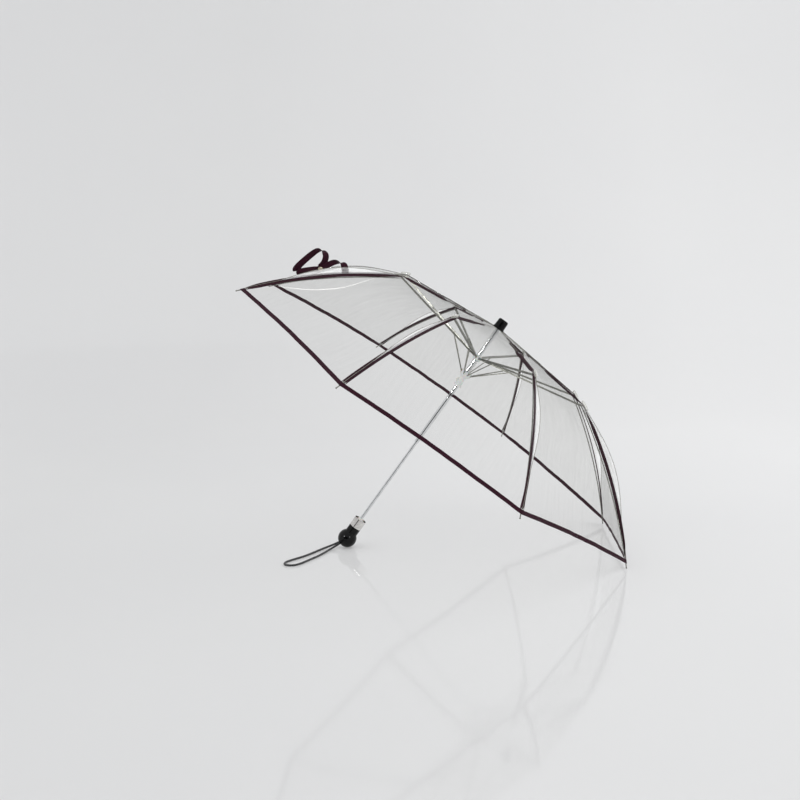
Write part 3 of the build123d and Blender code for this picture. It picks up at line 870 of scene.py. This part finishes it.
STRAP_WIDE, STRAP_THICK, STRAP_STEPS = 14, 0.8, 7
STRAP = [  # points, and the ribbon's width direction there
    ((-167.5, -131.6, 586.7), (0.95, 0.31, 0.01)),
    ((-168, -131.2, 594), (0.95, 0.31, 0)),
    ((-170, -130.5, 602), (0.93, 0.34, -0.1)),
    ((-177, -130, 607), (0.8, 0.5, -0.33)),
    ((-188, -130, 608.5), (0.6, 0.6, -0.52)),
    ((-201, -130, 604), (0.5, 0.6, -0.62)),
    ((-217, -130, 597), (0.45, 0.62, -0.64)),
    ((-230, -130, 596), (0.42, 0.65, -0.63)),
    ((-246, -130, 594), (0.45, 0.6, -0.66)),
    ((-259, -130, 591.2), (0.55, 0.4, -0.73)),
    ((-264, -130, 592), (0.6, 0.35, -0.72)),
    ((-265.5, -130, 596.5), (0.6, 0.35, -0.72)),
    ((-256, -130, 607), (0.55, 0.5, -0.67)),
    ((-235, -130, 624), (0.5, 0.6, -0.62)),
    ((-221, -130, 632.5), (0.4, 0.75, -0.5)),
    ((-211, -130, 631), (0.6, 0.78, -0.2)),
    ((-205.5, -130, 622), (0.78, 0.62, 0)),
    ((-208, -130, 611), (0.75, 0.62, -0.2)),
    ((-214.5, -130, 602.5), (0.6, 0.62, -0.5)),
    ((-218.5, -130, 599.3), (0.5, 0.62, -0.6)),
]


def catmull(points, steps):
    """A smooth line through the points."""
    out = []
    for k in range(len(points) - 1):
        a, b = points[max(k - 1, 0)], points[k]
        c, d = points[k + 1], points[min(k + 2, len(points) - 1)]
        for i in range(steps):
            t = i / steps
            square, cube = 2 * a - 5 * b + 4 * c - d, 3 * b - a - 3 * c + d
            out.append(0.5 * (2 * b + (c - a) * t + square * t * t + cube * t**3))
    return out + [points[-1]]


strap_points = catmull([Vector(point) * MM for point, _ in STRAP], STRAP_STEPS)
strap_sides = catmull([Vector(side) for _, side in STRAP], STRAP_STEPS)
strap = swept(
    "closure_ribbon",
    frames(strap_points, strap_sides),
    ribbon_section(STRAP_WIDE, STRAP_THICK),
    wine,
)
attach(strap, "outer_rib_5")
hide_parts("closure_strap")

# ---------------------------------------------------------------- spring and shaft bits

SPRING_WIRE, SPRING_R, SPRING_TURNS = 0.45, 6.0, 7
SPRING_LOW_W, SPRING_HIGH_W = -110.75, -81.75
SPRING_STEPS = SPRING_TURNS * 24
spring_points, spring_sides = [], []
for k in range(SPRING_STEPS + 1):
    share = k / SPRING_STEPS
    angle = 2 * pi * SPRING_TURNS * share
    ease = share + 0.012 * sin(2 * pi * share)
    w = SPRING_LOW_W + (SPRING_HIGH_W - SPRING_LOW_W) * ease
    spring_points.append(at(angle, SPRING_R, w))
    spring_sides.append(radial(angle))
spring = swept(
    "spring_coil",
    frames(spring_points, spring_sides),
    circle_section(SPRING_WIRE, 8),
    metal_material("spring_wire", (0.66, 0.66, 0.64), 0.2, (700, 700, 700)),
)
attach(spring, "runner")
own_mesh(spring)
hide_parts("opening_spring")

milky = plastic_material(
    "milky_plastic", (0.80, 0.81, 0.79), 0.32, 0.05, 700.0,
    Subsurface_Weight=0.25, Subsurface_Scale=0.004,
)
SOCKET_BORE, SOCKET_TOP, SOCKET_FOOT, SOCKET_STEPS = 3.55, -500, -519.4, 40
SOCKET = [
    (SOCKET_BORE, SOCKET_TOP), (5.0, SOCKET_TOP), (5.6, -501.2), (6.4, -505), (9.4, -508),
    (9.8, SOCKET_FOOT), (SOCKET_BORE, SOCKET_FOOT),
]
socket = lathe("cup_socket", SOCKET, SOCKET_STEPS, milky)
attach(socket, "handle")

# ---------------------------------------------------------------- CAD nodes' materials

BLACK = (0.002, 0.002, 0.0022)
rib_steel = metal_material("rib_steel_plated", (0.33, 0.33, 0.30), 0.24, (400, 400, 400), dark=0.5)
shaft_chrome = metal_material(
    "shaft_chrome_drawn", (0.80, 0.81, 0.82), 0.045, (260, 260, 40), 0.03, 0.75
)
cup_chrome = metal_material(
    "cup_chrome_polished", (0.80, 0.78, 0.76), 0.06, (120, 120, 900), 0.04, 0.6
)
black = plastic_material("black_lacquer", BLACK, 0.05, 0.02, 300.0, Specular_IOR_Level=0.24)
black_cap = plastic_material(
    "black_cap_moulded", BLACK, 0.12, 0.05, 700.0, Specular_IOR_Level=0.15
)
brass = metal_material("snap_brass_plate", (0.70, 0.62, 0.48), 0.22, (500, 500, 500), dark=0.6)

FINISHES = {
    "cap": (black_cap, "gloss_black"),
    "upper_tube": (shaft_chrome, "shaft_chrome"),
    "lower_tube": (shaft_chrome, "shaft_chrome"),
    "rib_carrier": (milky, "white_plastic"),
    "runner": (milky, "white_plastic"),
    "runner_button": (milky, "white_plastic"),
    "handle_cup": (cup_chrome, "cup_chrome"),
    "handle_ball": (black, "gloss_black"),
    "strap_snap": (brass, "snap_brass"),
}
for name, node in frame["nodes"].items():
    finish, slot = FINISHES.get(name, (rib_steel, "rib_steel"))
    if node.hide_render:
        continue
    node.data.materials.clear()
    node.data.materials.append(finish)

# ---------------------------------------------------------------- studio

# A round floor that curves up into a wall, in metres
FLOOR_FLAT, SWEEP_R, WALL_HIGH = 1.75, 1.9, 2.3
SWEEP_STEPS, BOWL_STEPS = 16, 96
studio_profile = [(0.02, 0.0)] + [(r, 0.0) for r in spread(0.4, FLOOR_FLAT, 6)]
for k in range(1, SWEEP_STEPS + 1):
    angle = pi / 2 * k / SWEEP_STEPS
    studio_profile.append((FLOOR_FLAT + SWEEP_R * sin(angle), SWEEP_R * (1 - cos(angle))))
studio_profile.append((FLOOR_FLAT + SWEEP_R, WALL_HIGH))
points = []
for r, z in studio_profile:
    points += [(x, y, z) for x, y in circle_section(r, BOWL_STEPS)]
faces = grid_faces(len(studio_profile), BOWL_STEPS, wrap=True)
faces.append(tuple(reversed(range(BOWL_STEPS))))
studio = new_piece("studio_bowl", points, faces, floor_material())

world = bpy.data.worlds.new("studio_world")
bpy.context.scene.world = world
world.use_nodes = True
background = world.node_tree.nodes["Background"].inputs
background["Color"].default_value = (0.98, 0.99, 1.0, 1)
background["Strength"].default_value = 0.8


def softbox(name, place, aim, size, power):
    """A rectangular lamp, with its size in metres and its power in watts."""
    data = bpy.data.lights.new(name, "AREA")
    data.shape = "RECTANGLE"
    data.size, data.size_y = size
    data.energy = power
    lamp = bpy.data.objects.new(name, data)
    lamp.location = place
    lamp.visible_camera = False
    lamp.rotation_mode = "QUATERNION"
    lamp.rotation_quaternion = (Vector(aim) - Vector(place)).to_track_quat("-Z", "Y")
    bpy.context.scene.collection.objects.link(lamp)
    return lamp


# The two small lamps light the umbrella only, so the floor mirrors neither of them
unlit = bpy.data.collections.new("studio_unlit")
unlit.objects.link(studio)
unlit.collection_objects[0].light_linking.link_state = "EXCLUDE"
left_box = softbox("left_box", (-1.36, -1.54, 1.25), (-0.15, 0, 0.1), (0.21, 0.24), 7)
right_box = softbox("right_box", (1.08, -1.71, 0.86), (-0.1, 0, 0.1), (0.15, 0.24), 4)
left_box.light_linking.receiver_collection = unlit
right_box.light_linking.receiver_collection = unlit
softbox("back_box", (1.9, 1.1, 2.3), (0.2, 0, 0.3), (1.8, 1.6), 8.5)

# A black card that bends up from the floor behind the camera, which only the shiny surfaces see
CARD_LINE = ((-1.3, 0.01), (-1.8, 0.05), (-2.1, 0.2), (-2.55, 0.7), (-2.7, 1.7))
points = [(x, y, z) for y, z in CARD_LINE for x in (CARD_LEFT, CARD_RIGHT)]
faces = [(2 * k, 2 * k + 1, 2 * k + 3, 2 * k + 2) for k in range(len(CARD_LINE) - 1)]
card = new_piece("black_card", points, faces, card_material())
card.visible_camera = card.visible_diffuse = card.visible_shadow = False
card.visible_transmission = False

scene = bpy.context.scene
scene.view_settings.view_transform = "Standard"
scene.cycles.transparent_max_bounces = 32
